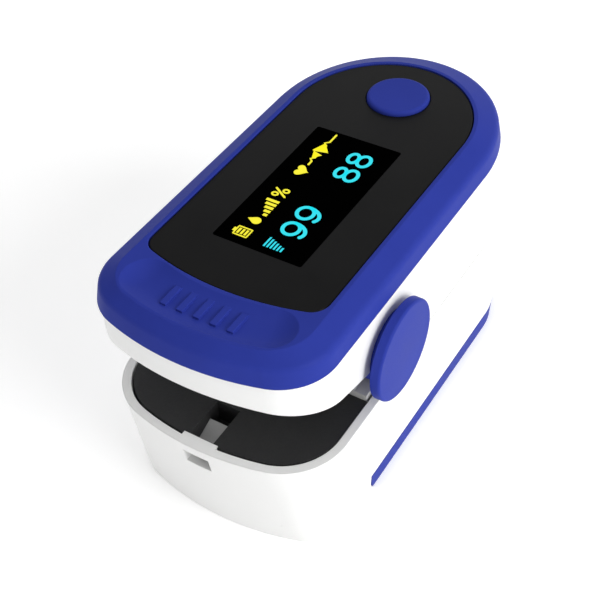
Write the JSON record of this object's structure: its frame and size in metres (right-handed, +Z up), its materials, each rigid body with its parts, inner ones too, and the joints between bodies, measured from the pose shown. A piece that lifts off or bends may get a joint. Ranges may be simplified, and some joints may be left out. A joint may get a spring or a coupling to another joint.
{
  "type": "fingertip pulse oximeter",
  "caption": "Clothes-peg style fingertip pulse oximeter with a sprung hinge, padded finger channel, display window, power button and sliding battery door.",
  "frame": {"origin": "centre of the footprint of the closed oximeter, on the surface that it stands on", "axes": "+Y along the length to the finger end, +X across the body, +Z up through the display"},
  "size_m": [0.0318, 0.0572, 0.032],
  "materials": {
    "blue_plastic": "satin",
    "white_plastic": "satin",
    "black_plastic": "fine textured",
    "grey_plastic": "satin",
    "pad_rubber": "soft matte",
    "window_black": "gloss",
    "display_glass": "gloss",
    "clear_window": "gloss",
    "circuit_board": "solder mask",
    "chip_black": "moulded epoxy",
    "foam_black": "foam",
    "spring_steel": "bright",
    "contact_metal": "nickel plated",
    "cell_jacket": "printed film",
    "ribbon": "polyimide"
  },
  "bodies": {
    "lower_half": {"hinge_bracket": "white_plastic", "bracket_screws": "spring_steel", "torsion_spring": "spring_steel", "lower_shell": "white_plastic", "lower_inner_cover": "black_plastic", "pocket_ramp": "grey_plastic", "lower_finger_pad": "pad_rubber", "sensor_board": "circuit_board", "photodiode": "chip_black", "sensor_window": "clear_window", "battery_left": "cell_jacket", "battery_right": "cell_jacket", "battery_springs": "spring_steel", "battery_contacts": "contact_metal"},
    "upper_half": {"top_bezel": "blue_plastic", "display_window": "window_black", "oled_module": "display_glass", "display_gasket": "foam_black", "display_holder": "black_plastic", "main_circuit_board": "circuit_board", "board_chips": "chip_black", "tact_switch": "contact_metal", "board_screws": "spring_steel", "upper_shell": "white_plastic", "upper_finger_pad": "pad_rubber", "upper_inner_cover": "black_plastic", "emitter_board": "circuit_board", "led_emitter": "clear_window", "emitter_window": "clear_window", "hinge_pin": "spring_steel", "hinge_cap_left": "blue_plastic", "hinge_cap_right": "blue_plastic", "flex_cable": "ribbon"},
    "button": {"power_button": "blue_plastic"},
    "door": {"battery_door": "blue_plastic"}
  },
  "joints": [
    {"name": "clip_hinge", "type": "hinge", "parent": "lower_half", "child": "upper_half", "pos_m": [0, -0.0106, 0.0217], "axis": [1, 0, 0], "range_deg": [0, 20], "stiffness_Nm_per_rad": 0.12, "springref_deg": -20.05, "deforming": ["torsion_spring", "flex_cable"]},
    {"name": "button_press", "type": "slide", "parent": "upper_half", "child": "button", "axis": [0, 0, -1], "range_m": [0, 0.0004], "stiffness_N_per_m": 900, "springref_m": -0.0005},
    {"name": "door_slide", "type": "slide", "parent": "lower_half", "child": "door", "axis": [0, 1, 0], "range_m": [0, 0.042]}
  ]
}
